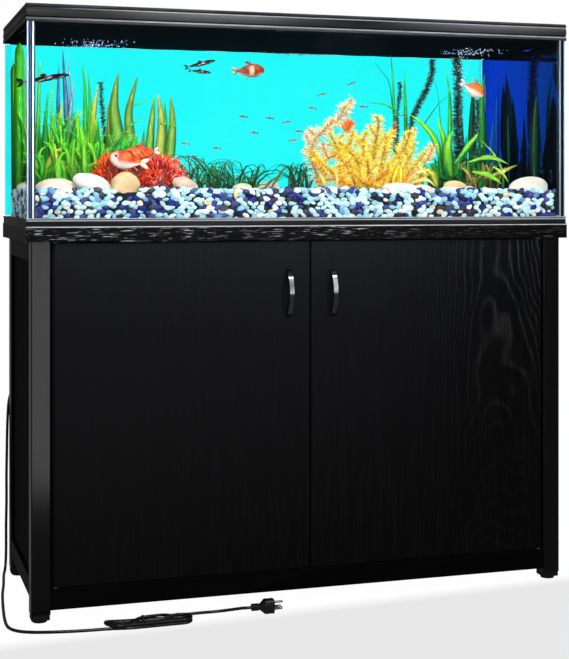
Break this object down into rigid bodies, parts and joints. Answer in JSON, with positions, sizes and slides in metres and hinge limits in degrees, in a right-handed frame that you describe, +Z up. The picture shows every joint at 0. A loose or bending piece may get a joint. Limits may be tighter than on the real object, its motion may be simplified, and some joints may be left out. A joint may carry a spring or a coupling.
{
  "type": "aquarium on stand",
  "caption": "Glass aquarium with hood, gravel, planting and coral, on a black cabinet stand with hinged doors and a corded power strip.",
  "frame": {"origin": "middle of the footprint at floor level, door handles included", "axes": "+Z up, doors face -Y, +X to the right of a viewer in front"},
  "size_m": [1.2718, 0.5727, 1.275],
  "materials": {
    "post_laminate": "satin charcoal laminate",
    "rail_laminate": "satin black wood-grain laminate",
    "panel_laminate": "satin black laminate",
    "board_laminate": "black open-grain laminate",
    "door_laminate": "black wood-grain laminate",
    "foot_plastic": "black",
    "catch_plastic": "dark grey",
    "zinc_steel": "zinc plated",
    "handle_metal": "gloss black chrome",
    "strip_plastic": "black",
    "switch_plastic": "red",
    "frame_plastic": "satin black",
    "lamp_lens": "frosted",
    "tank_glass": "polished",
    "silicone": "translucent black",
    "cyan_film": "bright cyan",
    "blue_film": "dark blue mirror film",
    "gravel": "coated pebbles",
    "river_stone": "smooth",
    "coral_red": "matt",
    "coral_yellow": "matt",
    "leaf_green": "satin",
    "cord_jacket": "satin black",
    "blade_brass": "plated"
  },
  "bodies": {
    "stand": {"leg_front_left": "post_laminate", "leg_front_right": "post_laminate", "leg_back_left": "post_laminate", "leg_back_right": "post_laminate", "foot_glides": "foot_plastic", "side_rails_upper": "rail_laminate", "side_rails_lower": "rail_laminate", "front_rail_lower": "rail_laminate", "front_rail_upper": "rail_laminate", "back_rail_lower": "rail_laminate", "back_rail_upper": "rail_laminate", "side_panel_left": "panel_laminate", "side_panel_right": "panel_laminate", "back_panel": "panel_laminate", "cabinet_floor": "panel_laminate", "centre_divider": "panel_laminate", "stand_top": "board_laminate", "magnetic_catches": "catch_plastic", "door_pivot_pins": "zinc_steel", "power_strip": "strip_plastic", "tank_bottom_frame": "frame_plastic", "tank_base_glass": "tank_glass", "tank_front_glass": "tank_glass", "tank_back_glass": "tank_glass", "tank_left_glass": "tank_glass", "tank_right_glass": "tank_glass", "silicone_seams": "silicone", "tank_top_frame": "frame_plastic", "background_film": "cyan_film", "side_film": "blue_film", "gravel_bed": "gravel", "river_stones": "river_stone", "coral_red": "coral_red", "coral_yellow": "coral_yellow", "plants_left": "leaf_green", "plants_centre": "leaf_green", "plants_right": "leaf_green", "hood_frame": "frame_plastic", "led_housing": "frame_plastic", "led_lens": "lamp_lens", "hood_hinge_pins": "zinc_steel", "cord_gland": "cord_jacket", "power_cord": "cord_jacket", "cord_hank": "cord_jacket", "cord_tail": "cord_jacket", "cord_tie": "cord_jacket", "plug_body": "cord_jacket", "plug_blades": "blade_brass"},
    "door_left": {"door_left": "door_laminate", "handle_left": "handle_metal", "handle_screws_left": "zinc_steel", "strike_plate_left": "zinc_steel"},
    "door_right": {"door_right": "door_laminate", "handle_right": "handle_metal", "handle_screws_right": "zinc_steel", "strike_plate_right": "zinc_steel"},
    "flap_left": {"hood_flap_left": "frame_plastic"},
    "flap_right": {"hood_flap_right": "frame_plastic"},
    "power_switch": {"power_switch": "switch_plastic"}
  },
  "joints": [
    {"name": "door_left_hinge", "type": "hinge", "parent": "stand", "child": "door_left", "pos_m": [-0.5525, -0.1955, 0.428], "axis": [0, 0, -1], "range_deg": [0, 95]},
    {"name": "door_right_hinge", "type": "hinge", "parent": "stand", "child": "door_right", "pos_m": [0.5525, -0.1955, 0.428], "axis": [0, 0, 1], "range_deg": [0, 95]},
    {"name": "flap_left_hinge", "type": "hinge", "parent": "stand", "child": "flap_left", "pos_m": [-0.3, 0.066, 1.2722], "axis": [-1, 0, 0], "range_deg": [0, 100]},
    {"name": "flap_right_hinge", "type": "hinge", "parent": "stand", "child": "flap_right", "pos_m": [0.3, 0.066, 1.2722], "axis": [-1, 0, 0], "range_deg": [0, 100]},
    {"name": "power_switch_rock", "type": "hinge", "parent": "stand", "child": "power_switch", "pos_m": [-0.282, 0.177, 0.47], "axis": [0, 0, -1], "range_deg": [0, 16]}
  ]
}
